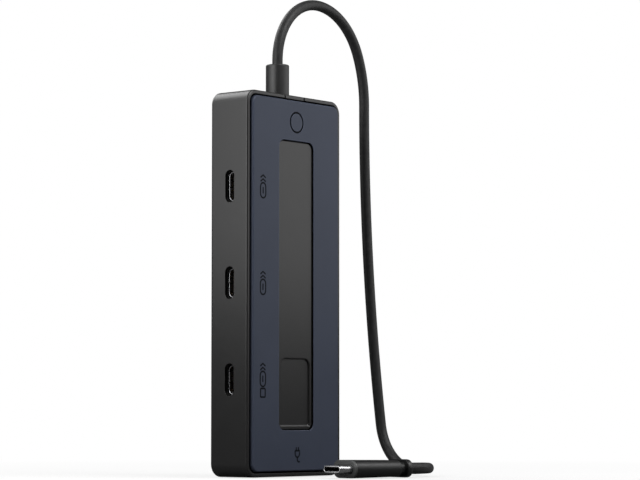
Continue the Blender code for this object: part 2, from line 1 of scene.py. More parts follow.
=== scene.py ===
"""Finished look of the multiport hub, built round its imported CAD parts.

Lengths are in millimetres in the hub's own layout: Z up its length from the bottom end, X across, and Y
counted from the middle of the ports. hub_place and plug_place turn them into metres in the CAD frame.
"""

import json
from math import acos, atan2, cos, pi, radians, sin, sqrt

import bmesh
import bpy
import numpy as np
from mathutils import Euler, Matrix, Vector

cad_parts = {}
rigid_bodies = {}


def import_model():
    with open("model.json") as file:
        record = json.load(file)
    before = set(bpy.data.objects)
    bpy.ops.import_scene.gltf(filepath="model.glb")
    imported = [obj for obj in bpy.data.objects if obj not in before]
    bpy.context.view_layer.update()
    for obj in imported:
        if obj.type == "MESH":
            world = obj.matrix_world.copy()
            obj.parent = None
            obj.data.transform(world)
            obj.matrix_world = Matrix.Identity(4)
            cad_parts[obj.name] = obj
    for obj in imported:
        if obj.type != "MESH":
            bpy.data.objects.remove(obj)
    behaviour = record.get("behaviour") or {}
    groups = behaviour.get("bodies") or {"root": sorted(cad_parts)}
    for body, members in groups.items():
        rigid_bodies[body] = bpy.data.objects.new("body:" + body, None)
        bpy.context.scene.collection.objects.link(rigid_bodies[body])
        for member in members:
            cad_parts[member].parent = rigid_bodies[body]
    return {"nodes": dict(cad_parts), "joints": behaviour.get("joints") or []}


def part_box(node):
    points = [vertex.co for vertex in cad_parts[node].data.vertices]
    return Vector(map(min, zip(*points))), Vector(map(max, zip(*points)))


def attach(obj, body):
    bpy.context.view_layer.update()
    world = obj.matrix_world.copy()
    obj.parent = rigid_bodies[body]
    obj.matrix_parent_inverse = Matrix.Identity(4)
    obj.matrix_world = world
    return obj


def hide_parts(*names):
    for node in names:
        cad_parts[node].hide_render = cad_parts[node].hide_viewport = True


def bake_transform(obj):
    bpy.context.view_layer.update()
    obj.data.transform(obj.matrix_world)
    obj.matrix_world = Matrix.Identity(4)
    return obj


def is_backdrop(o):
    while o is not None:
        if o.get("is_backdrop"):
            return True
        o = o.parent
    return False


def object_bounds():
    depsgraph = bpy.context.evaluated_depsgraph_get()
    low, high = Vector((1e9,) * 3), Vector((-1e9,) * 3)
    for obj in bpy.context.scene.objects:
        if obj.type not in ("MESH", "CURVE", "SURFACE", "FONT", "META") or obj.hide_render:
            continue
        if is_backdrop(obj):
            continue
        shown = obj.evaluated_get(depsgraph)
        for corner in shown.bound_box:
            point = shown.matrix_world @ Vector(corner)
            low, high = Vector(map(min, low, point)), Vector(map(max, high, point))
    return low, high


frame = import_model()
CAD_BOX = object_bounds()

MM = 0.001
JOINT_AT = {joint["name"]: Vector(joint["pos_m"]) for joint in frame["joints"]}
JOINT_AXIS = {joint["name"]: Vector(joint["axis"]) for joint in frame["joints"]}
BODY_AFTER = {joint["name"]: joint["child"] for joint in frame["joints"]}

# The hub's own origin: middle of the cable's exit, on the ground
ROOT_LOW, ROOT_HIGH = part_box("cable_root")
ORIGIN = Vector((0.0, (ROOT_LOW.y + ROOT_HIGH.y) / 2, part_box("lower_housing")[0].z))


def box_mm(node):
    """A node's lowest and highest corner in the hub's own layout."""
    return tuple((corner - ORIGIN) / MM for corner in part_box(node))


# Casing
CASE_LOW, CASE_HIGH = box_mm("lower_housing")
HUB_W = CASE_HIGH.x - CASE_LOW.x
HUB_L = CASE_HIGH.z - CASE_LOW.z
FACE_Y = CASE_LOW.y
BACK_Y = CASE_HIGH.y
CORNER_R = 4.0
RIM_T = 1.2
WALL_T = 2.4
BACK_T = 1.8
LEDGE_Y = FACE_Y + 1.4
FRONT_EDGE_R = 0.55
BACK_EDGE_R = 1.0
GATE_SLOT = 5.0          # half width of the slot that the gate closes
GATE_SEAM = 0.6
GATE_DEEP = 3.1
GATE_GAP = 0.17          # behind the gate, out of sight
NECK_HOLE = (6.3, 7.9)
NECK_HOLE_R = 3.1
NECK_HOLE_Y = -0.8
FOOT_R = 3.4
FOOT_EDGE_R = 0.35
CORNER_STEPS = 14
LATHE_STEPS = 96

# Cover, and the panel in its window
COVER_AT, COVER_TO = box_mm("top_cover")
COVER_W = COVER_TO.x - COVER_AT.x
COVER_LOW = COVER_AT.z
COVER_HIGH = COVER_TO.z
COVER_TOP_Y = COVER_AT.y
COVER_T = 2.05
COVER_UNDER_Y = COVER_TOP_Y + COVER_T
COVER_R = 2.4
COVER_EDGE_R = 0.5
WINDOW_EDGE_R = 0.18
SKIRT_FROM = 1.9         # the skirt under the cover, from the cover's outline inwards
SKIRT_TO = 2.9
SKIRT_END_Y = -4.4
REBATE = 1.6
PANEL_AT, PANEL_TO = box_mm("centre_panel")
PANEL_Y = PANEL_AT.y
PANEL_MARGIN = 1.3       # how far the panel reaches beyond the window
WINDOW_W = PANEL_TO.x - PANEL_AT.x - 2 * PANEL_MARGIN
WINDOW_LOW = PANEL_AT.z + PANEL_MARGIN
WINDOW_HIGH = PANEL_TO.z - PANEL_MARGIN
WINDOW_R = 2.4
PANEL_STEP = 0.45        # from the raised face back to the flange under the lip
PANEL_INSET = 0.35       # shadow line between the raised face and the window's edge
LIP_UNDER_Y = PANEL_Y + PANEL_STEP - 0.05
POCKET_HALF_W = WINDOW_W / 2 - 1.4
POCKET_LOW = WINDOW_LOW + 1.0
POCKET_HIGH = POCKET_LOW + 20.9
POCKET_DEPTH = 0.55
POCKET_SLOPE = 0.7
POCKET_EDGE_R = 0.45
RING_Z = COVER_HIGH - 6.8
RING_R = 3.4
RING_LINE = 0.65
RING_DEPTH = 0.2
INK = 0.02               # how far a printed mark stands out
MARK_X = -16.2
MARK_LINE = 0.5
POWER_MARK = (0.4, 7.0)

# Receptacles
PORTS = {name: sum(c.z for c in box_mm(name + "_port_shell")) / 2 for name in ("upper", "middle", "lower")}
PORT_MOUTH = (9.95, 3.6)
PORT_THROAT = (9.3, 3.1)
PORT_WALL = 1.3
PORT_POCKET = (10.6, 4.4)   # room behind the wall for a receptacle
PORT_POCKET_R = 0.8
SHELL_OUT = (8.94, 3.26)
SHELL_WALL = 0.3
SHELL_LENGTH = 7.4
SHELL_SET = 0.3          # from the inside of the wall to the shell's lip
TONGUE = (6.7, 0.7)
TONGUE_LENGTH = 6.0
TONGUE_BLOCK = 1.4       # thick block at the tongue's root
CONTACT_PITCH = 0.5
CONTACTS = 12
CONTACT_ROW = [(k - (CONTACTS - 1) / 2) * CONTACT_PITCH for k in range(CONTACTS)]
LONG_CONTACTS = (0, 3, 8, 11)   # power and ground, which touch first

# Cable
CABLE_R = (ROOT_HIGH.x - ROOT_LOW.x) / 2 / MM
CABLE_SIDES = 40
CABLE_ROW = 0.8          # between rings of the skin
SKIN_LEAD = 1.6          # the first bending skin starts this far before its joint
BEND_SHARE = 0.82        # of the shorter side of a joint; the reach worked out from it is not used
TAIL_BEND = 2.2          # this far before the collar; the bend start worked out from it is not used
BOOT_R = 3.65
BOOT_EDGE_R = 0.45
BOOT_FLANGE_R = 3.9      # inside the wall
BOOT_NECK_R = 2.8        # through the wall
BOOT_TOP = box_mm("strain_relief_boot")[1].z

# Plug, from the back of its collar towards its tip
PLUG_SPIN = atan2(JOINT_AXIS["cable_nod"].x, -JOINT_AXIS["cable_nod"].y)
COLLAR_SIZE = (11.6, 5.5)
COLLAR_TO = 3.3
COLLAR_REAR = (4.6, 3.9)
NECK_SIZE = (8.8, 3.8)
OVERMOLD_FROM = 5.4
OVERMOLD_TO = 23.0
OVERMOLD_REAR = (11.0, 5.0)
OVERMOLD_FRONT = (11.3, 5.44)
PLATE_TO = 23.8
PLUG_SHELL = (8.25, 2.4)
PLUG_SHELL_WALL = 0.25
PLUG_RIM = 0.42          # width of the flat rim at the tip
PLUG_RIM_R = 0.08
PLUG_TAPER = 0.15        # how far the tip draws in before the rim
PLUG_SHELL_ROOT = 20.3
PLUG_SHELL_TIP = 28.6

# Camera, floor and light
CAMERA_AT = (-591.2, -489.0, 18.7)
CAMERA_RISE = 4.07       # degrees above level
CAMERA_TURN = -51.4
LENS_MM = 138.8
SENSOR_MM = 36.0
FLOOR_RADII_M = (0.15, 0.35, 0.8, 1.6, 6.0)
GLINT_FROM_TIP = (-50.0, 110.0, 0.0)
# Each soft box: its place, what it faces, width, height and watts
SOFTBOXES = {
    "side_softbox": ((-166.0, 93.0, 162.0), (-HUB_W / 2, 0.0, 162.0), 110.0, 200.0, 0.112),
    "left_softbox": ((-200.0, 10.0, 155.0), (0.0, 0.0, 155.0), 130.0, 200.0, 0.30),
    "right_softbox": ((231.0, -198.0, 190.0), (0.0, FACE_Y, 190.0), 320.0, 260.0, 0.36),
    "front_fill": ((60.0, -420.0, 480.0), (0.0, FACE_Y, HUB_L / 2), 420.0, 260.0, 2.5),
    "top_softbox": ((0.0, 0.0, 620.0), (0.0, 0.0, HUB_L), 300.0, 300.0, 0.25),
    "back_softbox": ((-40.0, 460.0, 520.0), (0.0, BACK_Y, HUB_L / 2), 480.0, 360.0, 2.6),
}


def hub_place(point):
    return ORIGIN + Vector(point) * MM


def plug_place(point):
    return JOINT_AT["plug_flex"] + Matrix.Rotation(PLUG_SPIN, 3, "Z") @ (Vector(point) * MM)


# Mesh helpers --------------------------------------------------------------------------------------


def loft(rings, ring_round=False):
    """Points and faces of the skin over rings of equal length, capped at both ends or joined round."""
    count = len(rings[0])
    points = [tuple(point) for ring in rings for point in ring]
    faces = []
    for i in range(len(rings) if ring_round else len(rings) - 1):
        here = i * count
        there = (i + 1) % len(rings) * count
        for k in range(count):
            after = (k + 1) % count
            faces.append((here + k, here + after, there + after, there + k))
    if not ring_round:
        faces.append(tuple(range(count)))
        faces.append(tuple(range(len(points) - count, len(points))))
    return points, faces


def rounded(corners, radii, steps):
    """A convex outline, counter-clockwise, with each square corner turned into an arc."""
    outline = []
    total = len(corners)
    for i, radius in enumerate(radii):
        corner = Vector(corners[i])
        before = (Vector(corners[i - 1]) - corner).normalized()
        after = (Vector(corners[(i + 1) % total]) - corner).normalized()
        centre = corner + (before + after) * radius
        for k in range(steps + 1):
            turn = k / steps * pi / 2
            outline.append(centre - after * radius * cos(turn) - before * radius * sin(turn))
    return outline


def box_outline(width, height, radius, steps=CORNER_STEPS, centre=(0.0, 0.0)):
    x, y = width / 2, height / 2
    a, b = centre
    radius = min(radius, x - 0.005, y - 0.005)
    corners = ((a - x, b - y), (a + x, b - y), (a + x, b + y), (a - x, b + y))
    return rounded(corners, (radius,) * 4, steps)


def on_xz(outline, y):
    return [(p[0], y, p[1]) for p in outline]


def on_xy(outline, z):
    return [(p[0], p[1], z) for p in outline]


def quarter(from_point, to_point, bulge, steps=5):
    """Points of a quarter round between two (inset, level) points, bulging towards the corner given."""
    a, b, corner = Vector(from_point), Vector(to_point), Vector(bulge)
    centre = a + b - corner
    found = []
    for k in range(steps + 1):
        turn = k / steps * pi / 2
        found.append(tuple(centre + (a - centre) * cos(turn) + (b - centre) * sin(turn)))
    return found


def lathe(profile, axis):
    """The skin of a closed (radius, height) outline turned round an axis."""
    rings = []
    for radius, height in profile:
        ring = []
        for k in range(LATHE_STEPS):
            turn = 2 * pi * k / LATHE_STEPS
            a, b = radius * cos(turn), radius * sin(turn)
            ring.append((a, b, height) if axis == "Z" else (a, height, b))
        rings.append(ring)
    return loft(rings, ring_round=True)


def make(name, parts, look, place=hub_place, sharp=32, weighted=True):
    """One object from (points, faces) pairs in millimetres."""
    points, faces = [], []
    for more_points, more_faces in parts:
        start = len(points)
        points += [place(p) for p in more_points]
        faces += [tuple(i + start for i in face) for face in more_faces]
    mesh = bpy.data.meshes.new(name)
    mesh.from_pydata(points, [], faces)
    shaped = bmesh.new()
    shaped.from_mesh(mesh)
    bmesh.ops.recalc_face_normals(shaped, faces=shaped.faces)
    shaped.to_mesh(mesh)
    shaped.free()
    obj = bpy.data.objects.new(name, mesh)
    bpy.context.scene.collection.objects.link(obj)
    if look:
        mesh.materials.append(look)
    finish_shading(obj, sharp, weighted)
    return obj


def finish_shading(obj, sharp=32, weighted=True):
    obj.data.shade_smooth()
    obj.data.set_sharp_from_angle(angle=radians(sharp))
    if weighted and "flat_faces" not in obj.modifiers:
        normals = obj.modifiers.new("flat_faces", "WEIGHTED_NORMAL")
        normals.keep_sharp = True
        normals.weight = 50


def carve(obj, tools):
    """Cuts each tool's shape out of obj, then removes the tools."""
    for modifier in list(obj.modifiers):
        obj.modifiers.remove(modifier)
    for tool in tools:
        change = obj.modifiers.new(tool.name, "BOOLEAN")
        change.operation = "DIFFERENCE"
        change.object = tool
        change.solver = "EXACT"
    bpy.context.view_layer.update()
    shaped = bpy.data.meshes.new_from_object(obj.evaluated_get(bpy.context.evaluated_depsgraph_get()))
    obj.modifiers.clear()
    obj.data = shaped
    for tool in tools:
        bpy.data.objects.remove(tool)
    finish_shading(obj)


def settle(obj, body, slot, *nodes):
    """Rides obj on a body and hides the CAD nodes it stands for; slot is not used."""
    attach(obj, body)
    if nodes:
        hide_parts(*nodes)


# Materials -----------------------------------------------------------------------------------------


class Look:
    """A material's node tree, built a call at a time."""

    def __init__(self, name, roughness=0.5, metallic=0.0):
        self.material = bpy.data.materials.new(name)
        self.material.use_nodes = True
        self.tree = self.material.node_tree
        self.shader = self.tree.nodes["Principled BSDF"]
        self.shader.inputs["Roughness"].default_value = roughness
        self.shader.inputs["Metallic"].default_value = metallic
        self.place = self.add("TexCoord").outputs["Object"]

    def add(self, kind, **settings):
        node = self.tree.nodes.new("ShaderNode" + kind)
        for key, value in settings.items():
            setattr(node, key, value)
        return node

    def join(self, output, node, name):
        self.tree.links.new(output, node.inputs[name])

    def stretched(self, scale):
        node = self.add("Mapping")
        node.inputs["Scale"].default_value = scale
        self.join(self.place, node, "Vector")
        return node.outputs["Vector"]

    def noise(self, size_mm, detail=2.0, source=None, distortion=0.0):
        """Noise whose lumps are about size_mm across."""
        node = self.add("TexNoise")
        node.inputs["Scale"].default_value = 1 / (size_mm * MM)
        node.inputs["Detail"].default_value = detail
        node.inputs["Distortion"].default_value = distortion
        self.join(source or self.place, node, "Vector")
        return node.outputs["Fac"]

    def cells(self, size_mm):
        node = self.add("TexVoronoi")
        node.inputs["Scale"].default_value = 1 / (size_mm * MM)
        self.join(self.place, node, "Vector")
        return node.outputs["Distance"]

    def spread(self, source, low, high, start=0.35, end=0.65):
        """The source, remapped from start..end to low..high."""
        node = self.add("MapRange")
        node.inputs["From Min"].default_value = start
        node.inputs["From Max"].default_value = end
        node.inputs["To Min"].default_value = low
        node.inputs["To Max"].default_value = high
        self.join(source, node, "Value")
        return node.outputs["Result"]

    def maths(self, operation, first, second):
        node = self.add("Math", operation=operation)
        for index, value in enumerate((first, second)):
            if isinstance(value, (int, float)):
                node.inputs[index].default_value = value
            else:
                self.tree.links.new(value, node.inputs[index])
        return node.outputs["Value"]

    def mix(self, factor, first, second):
        node = self.add("Mix", data_type="RGBA")
        self.join(factor, node, "Factor")
        for socket, value in ((node.inputs[6], first), (node.inputs[7], second)):
            if isinstance(value, tuple):
                socket.default_value = (*value, 1.0)
            else:
                self.tree.links.new(value, socket)
        return node.outputs[2]

    def edges(self, radius_mm, gain):
        """About 0 on flat faces, rising towards 1 along edges that stick out."""
        rounded_normal = self.add("Bevel", samples=4)
        rounded_normal.inputs["Radius"].default_value = radius_mm * MM
        plain = self.add("NewGeometry")
        dot = self.add("VectorMath", operation="DOT_PRODUCT")
        self.tree.links.new(rounded_normal.outputs["Normal"], dot.inputs[0])
        self.tree.links.new(plain.outputs["Normal"], dot.inputs[1])
        lost = self.maths("SUBTRACT", 1.0, dot.outputs["Value"])
        return self.maths("MINIMUM", self.maths("MULTIPLY", lost, gain), 1.0)

    def bump(self, heights):
        """Stacks (height output, distance in mm, strength) bumps into the normal."""
        normal = None
        for height, distance, strength in heights:
            node = self.add("Bump")
            node.inputs["Distance"].default_value = distance * MM
            node.inputs["Strength"].default_value = strength
            self.join(height, node, "Height")
            if normal:
                self.join(normal, node, "Normal")
            normal = node.outputs["Normal"]
        self.join(normal, self.shader, "Normal")

    def wear(self, colour, roughness):
        self.join(colour, self.shader, "Base Color")
        self.join(roughness, self.shader, "Roughness")
        return self.material


def tint(colour, factor):
    return tuple(min(1.0, channel * factor) for channel in colour)


def moulded(name, colour, roughness, grain_mm=0.16, grain=0.35, edge=0.35, shine=0.5, edge_mm=0.3):
    """Moulded plastic: spark-eroded grain, faint cloudiness, handling marks and lighter edges, which are
    polished wear and, on the navy cover, a painted highlight.
    """
    look = Look(name)
    cloud = look.noise(18.0, 2.0)
    fine = look.noise(grain_mm, 3.0)
    pits = look.cells(grain_mm * 1.7)
    rubbed = look.noise(5.0, 4.0, distortion=0.8)
    rim = look.edges(edge_mm, 2.5)
    base = look.mix(look.spread(cloud, 0.0, 1.0), tint(colour, 0.96), tint(colour, 1.04))
    base = look.mix(look.spread(fine, 0.0, 0.35), base, tint(colour, 1.35))
    # Lightens the colour along edges: worn polish, and where the edge amount is large, as on the navy
    # cover, a painted edge highlight.
    base = look.mix(look.maths("MULTIPLY", rim, edge), base, tint(colour, 2.6))
    rough = look.spread(rubbed, roughness - 0.008, roughness + 0.012)
    rough = look.maths("ADD", rough, look.spread(fine, -0.02, 0.03))
    rough = look.maths("SUBTRACT", rough, look.maths("MULTIPLY", rim, 0.08))
    look.bump(((pits, 0.020, grain * 0.5), (fine, 0.018, grain)))
    look.shader.inputs["Specular IOR Level"].default_value = shine
    return look.wear(base, rough)


def bright_metal(name, colour, roughness, along=(60.0, 900.0, 900.0), edge=0.25, lined=0.3):
    """Drawn sheet metal: lines along one axis, faint stains and worn edges."""
    look = Look(name, metallic=1.0)
    lines = look.noise(1.0 / MM, 4.0, source=look.stretched(along))
    stain = look.noise(2.5, 3.0, distortion=0.5)
    rim = look.edges(0.12, 3.0)
    base = look.mix(look.spread(stain, 0.0, 0.6), colour, tint(colour, 0.82))
    base = look.mix(look.maths("MULTIPLY", rim, edge), base, tint(colour, 1.3))
    rough = look.maths("ADD", look.spread(lines, roughness - 0.05, roughness + 0.07),
                       look.spread(stain, 0.0, 0.05))
    look.bump(((lines, 0.006, lined),))
    return look.wear(base, rough)


def cable_jacket(name, colour):
    """Extruded jacket: fine matt skin, soft lumps and small scuffs."""
    look = Look(name)
    skin = look.noise(0.12, 3.0)
    lumps = look.noise(1.3, 2.0)
    scuff = look.noise(3.5, 5.0, distortion=1.2)
    base = look.mix(look.spread(lumps, 0.0, 1.0), tint(colour, 0.88), tint(colour, 1.12))
    base = look.mix(look.spread(scuff, 0.0, 0.5, 0.58, 0.70), base, tint(colour, 1.7))
    rough = look.maths("ADD", look.spread(lumps, 0.43, 0.52), look.spread(scuff, -0.03, 0.05))
    look.bump(((lumps, 0.008, 0.15), (skin, 0.008, 0.25)))
    look.shader.inputs["Specular IOR Level"].default_value = 0.28
    look.shader.inputs["Sheen Weight"].default_value = 0.05
    look.shader.inputs["Sheen Roughness"].default_value = 0.5
    return look.wear(base, rough)


def foot_rubber(name, colour):
    look = Look(name)
    grain = look.noise(0.3, 4.0)
    dust = look.noise(4.0, 5.0, distortion=0.6)
    base = look.mix(look.spread(dust, 0.0, 0.7, 0.5, 0.75), colour, tint(colour, 2.2))
    look.bump(((grain, 0.03, 0.6),))
    return look.wear(base, look.spread(grain, 0.75, 0.92))


def solder_mask(name):
    """Green board: copper tracks under the mask and a weave from the glass cloth."""
    look = Look(name)
    tracks = look.add("TexBrick")
    tracks.inputs["Scale"].default_value = 420.0
    tracks.inputs["Mortar Size"].default_value = 0.05
    tracks.inputs["Mortar Smooth"].default_value = 0.3
    turned = look.add("Mapping")
    turned.inputs["Rotation"].default_value = (radians(90), 0.0, 0.0)
    look.join(look.place, turned, "Vector")
    look.join(turned.outputs["Vector"], tracks, "Vector")
    weave = look.noise(0.5, 2.0)
    base = look.mix(tracks.outputs["Fac"], (0.010, 0.070, 0.030), (0.022, 0.125, 0.050))
    base = look.mix(look.spread(weave, 0.0, 0.3), base, (0.006, 0.045, 0.020))
    look.bump(((tracks.outputs["Fac"], 0.03, 0.5), (weave, 0.01, 0.3)))
    return look.wear(base, look.spread(weave, 0.28, 0.42))


def speckled(name, colour, roughness, size_mm=0.12, contrast=0.5):
    """Pressed or moulded compound with visible filler."""
    look = Look(name)
    grains = look.cells(size_mm)
    cloud = look.noise(1.5, 3.0)
    rim = look.edges(0.12, 2.5)
    filler = look.spread(grains, 0.0, 1.0, 0.1, 0.7)
    base = look.mix(filler, tint(colour, 1 + contrast), tint(colour, 1 - contrast / 2))
    base = look.mix(look.spread(cloud, 0.0, 0.4), base, tint(colour, 0.8))
    base = look.mix(look.maths("MULTIPLY", rim, 0.3), base, tint(colour, 1.8))
    look.bump(((grains, 0.012, 0.4),))
    return look.wear(base, look.spread(cloud, roughness - 0.06, roughness + 0.06))


HOUSING = moulded("housing_grain", (0.013, 0.013, 0.0132), 0.34, edge=0.08)
# Its large edge amount over a wide edge paints a lighter band round the cover's edges: a painted
# highlight.
NAVY = moulded("navy_grain", (0.0445, 0.0530, 0.0780), 0.42, edge=0.8, shine=0.15, edge_mm=0.7)
PANEL = moulded("panel_grain", (0.010, 0.010, 0.0102), 0.34, grain_mm=0.12, grain=0.25)
BLACK = moulded("black_satin", (0.010, 0.010, 0.0103), 0.40, grain_mm=0.10, grain=0.2)
PLATE = moulded("grey_satin", (0.062, 0.064, 0.063), 0.34, grain_mm=0.08, grain=0.15, edge=0.5)
INK_LOOK = moulded("dark_ink", (0.004, 0.005, 0.007), 0.60, grain_mm=0.06, grain=0.2, edge=0.0, shine=0.05)
# Near-black painted shade for the walls inside the port mouths and inside the cover's window.
MOUTH_SHADE_LOOK = moulded("mouth_wall", (0.003, 0.003, 0.003), 0.55, grain_mm=0.10, edge=0.0, shine=0.12)
TONGUE_LOOK = moulded("tongue_resin", (0.010, 0.010, 0.010), 0.35, grain_mm=0.08, grain=0.15)
SHEATH = cable_jacket("cable_jacket", (0.018, 0.018, 0.0184))
BOOT_LOOK = moulded("boot_satin", (0.014, 0.014, 0.0142), 0.42, grain_mm=0.10, grain=0.2)
RUBBER = foot_rubber("foot_rubber", (0.014, 0.014, 0.014))
STEEL = bright_metal("drawn_steel", (0.60, 0.60, 0.61), 0.20, lined=0.08)
PORT_STEEL = bright_metal("port_steel", (0.56, 0.56, 0.58), 0.26)
TIN = bright_metal("tinned_sheet", (0.50, 0.51, 0.52), 0.36, along=(300.0, 300.0, 300.0))
GOLD = bright_metal("gold_contacts", (0.78, 0.56, 0.24), 0.24)
BOARD = solder_mask("solder_mask")
CHIP = speckled("chip_resin", (0.013, 0.013, 0.014), 0.58)
FERRITE = speckled("grey_ferrite", (0.060, 0.060, 0.066), 0.70, 0.2)
CERAMIC = speckled("tan_ceramic", (0.290, 0.190, 0.110), 0.48, 0.1, 0.3)
PAD = speckled("thermal_silicone", (0.180, 0.310, 0.400), 0.80, 0.3, 0.3)


# Casing --------------------------------------------------------------------------------------------


def casing_outline(inset):
    radius = max(CORNER_R - inset, 1.2)
    return box_outline(HUB_W - 2 * inset, HUB_L - 2 * inset, radius, CORNER_STEPS, (0.0, HUB_L / 2))


def mouth_tool(name, place):
    """The port mouth: a barely softened edge, a straight wall and a shallow step to the throat."""
    sizes = []
    for grow, depth in ((0.20, -0.25), (0.16, -0.02), (0.05, 0.02), (0.0, 0.08)):
        sizes.append((PORT_MOUTH[0] + grow, PORT_MOUTH[1] + grow, depth))
    sizes.append((PORT_MOUTH[0] - 0.05, PORT_MOUTH[1] - 0.05, PORT_WALL - 0.35))
    sizes.append((*PORT_THROAT, PORT_WALL - 0.3))
    sizes.append((*PORT_THROAT, PORT_WALL + 0.3))
    rings = [place(box_outline(w, h, h / 2, 10), depth) for w, h, depth in sizes]
    return make(name, [loft(rings)], None)


def side_place(height):
    def place(outline, depth):
        return [(-HUB_W / 2 + depth, p[1], p[0] + height) for p in outline]
    return place


def end_place(outline, depth):
    return [(p[0], p[1], depth) for p in outline]


def paint_mouth_shade(casing):
    """Gives the walls inside the port mouths a near-black painted shade."""
    casing.data.materials.append(MOUTH_SHADE_LOOK)
    half_long, half_wide = PORT_MOUTH[0] / 2 + 0.1, PORT_MOUTH[1] / 2 + 0.1
    for face in casing.data.polygons:
        centre = (face.center - ORIGIN) / MM
        if abs(centre.y) > half_wide:
            continue
        depth, across = centre.x + HUB_W / 2, min(abs(centre.z - height) for height in PORTS.values())
        side_mouth = 0.06 < depth < PORT_WALL + 0.05 and across < half_long
        end_mouth = 0.06 < centre.z < PORT_WALL + 0.05 and abs(centre.x) < half_long
        if side_mouth or end_mouth:
            face.material_index = 1


def build_casing():
    front, back, edge = FACE_Y, BACK_Y, FRONT_EDGE_R
    levels = quarter((BACK_EDGE_R, back), (0.0, back - BACK_EDGE_R), (0.0, back), 7)
    levels += quarter((0.0, front + edge), (edge, front), (0.0, front))
    levels += quarter((RIM_T - 0.15, front), (RIM_T, front + 0.15), (RIM_T, front), 4)
    levels += [(RIM_T, LEDGE_Y), (WALL_T, LEDGE_Y), (WALL_T, back - BACK_T)]
    casing = make("casing", [loft([on_xz(casing_outline(i), y) for i, y in levels])], HOUSING)
    tools = [mouth_tool("mouth_" + name, side_place(height)) for name, height in PORTS.items()]
    tools.append(mouth_tool("mouth_power", end_place))
    pocket = box_outline(*PORT_POCKET, PORT_POCKET_R, 4)
    for name, place in [(n, side_place(h)) for n, h in PORTS.items()] + [("power", end_place)]:
        rings = [place(pocket, PORT_WALL), place(pocket, WALL_T + 0.5)]
        tools.append(make("behind_" + name, [loft(rings)], None))
    low, high = HUB_L - WALL_T - 0.5, HUB_L + 0.5
    slot = box_outline(2 * GATE_SLOT, 4.0, 0.05, 1, (0.0, FACE_Y + GATE_DEEP - 2.0))
    tools.append(make("slot_for_gate", [loft([on_xy(slot, low), on_xy(slot, high)])], None))
    bore = box_outline(*NECK_HOLE, NECK_HOLE_R, 12, (0.0, NECK_HOLE_Y))
    tools.append(make("slot_for_neck", [loft([on_xy(bore, low), on_xy(bore, high)])], None))
    carve(casing, tools)
    paint_mouth_shade(casing)
    settle(casing, "hub", "housing_plastic", "lower_housing")


def build_gate():
    """The tongue in the top rim, with the same soft edges as the rim beside it."""
    half, edge = GATE_SLOT - GATE_SEAM, FRONT_EDGE_R
    front, back = FACE_Y, FACE_Y + GATE_DEEP - GATE_GAP
    profile = [(front + 0.05, HUB_L - RIM_T), (front, HUB_L - RIM_T + 0.05)]
    profile += quarter((front, HUB_L - edge), (front + edge, HUB_L), (front, HUB_L))
    profile += [(back - 0.12, HUB_L), (back, HUB_L - 0.12), (back, HUB_L - RIM_T)]
    rings = []
    for x, shrink in ((-half, 0.06), (-half + 0.06, 0.0), (half - 0.06, 0.0), (half, 0.06)):
        middle_y, middle_z = (front + back) / 2, HUB_L - RIM_T / 2
        ring = []
        for y, z in profile:
            ring.append((x, y + shrink * (middle_y - y) / 2, z + shrink * (middle_z - z)))
        rings.append(ring)
    gate = make("gate", [loft(rings)], HOUSING)
    settle(gate, "hub", "housing_plastic", "cable_gate")


def build_feet():
    for name in ("rubber_foot_low", "rubber_foot_high"):
        low, high = box_mm(name)
        centre = (0.0, (low.z + high.z) / 2)
        width, height = high.x - low.x, high.z - low.z
        near, far = BACK_Y + 0.02, high.y
        levels = [(0.0, near), (0.0, near + 0.5)]
        levels += quarter((0.0, far - FOOT_EDGE_R), (FOOT_EDGE_R, far), (0.0, far), 4)
        rings = []
        for inset, y in levels:
            outline = box_outline(width - 2 * inset, height - 2 * inset, FOOT_R - inset, 12, centre)
            rings.append(on_xz(outline, y))
        foot = make(name.replace("rubber_foot", "foot_pad"), [loft(rings)], RUBBER)
        settle(foot, "hub", "foot_rubber", name)


# Cover, panel and marks ------------------------------------------------------------------------------


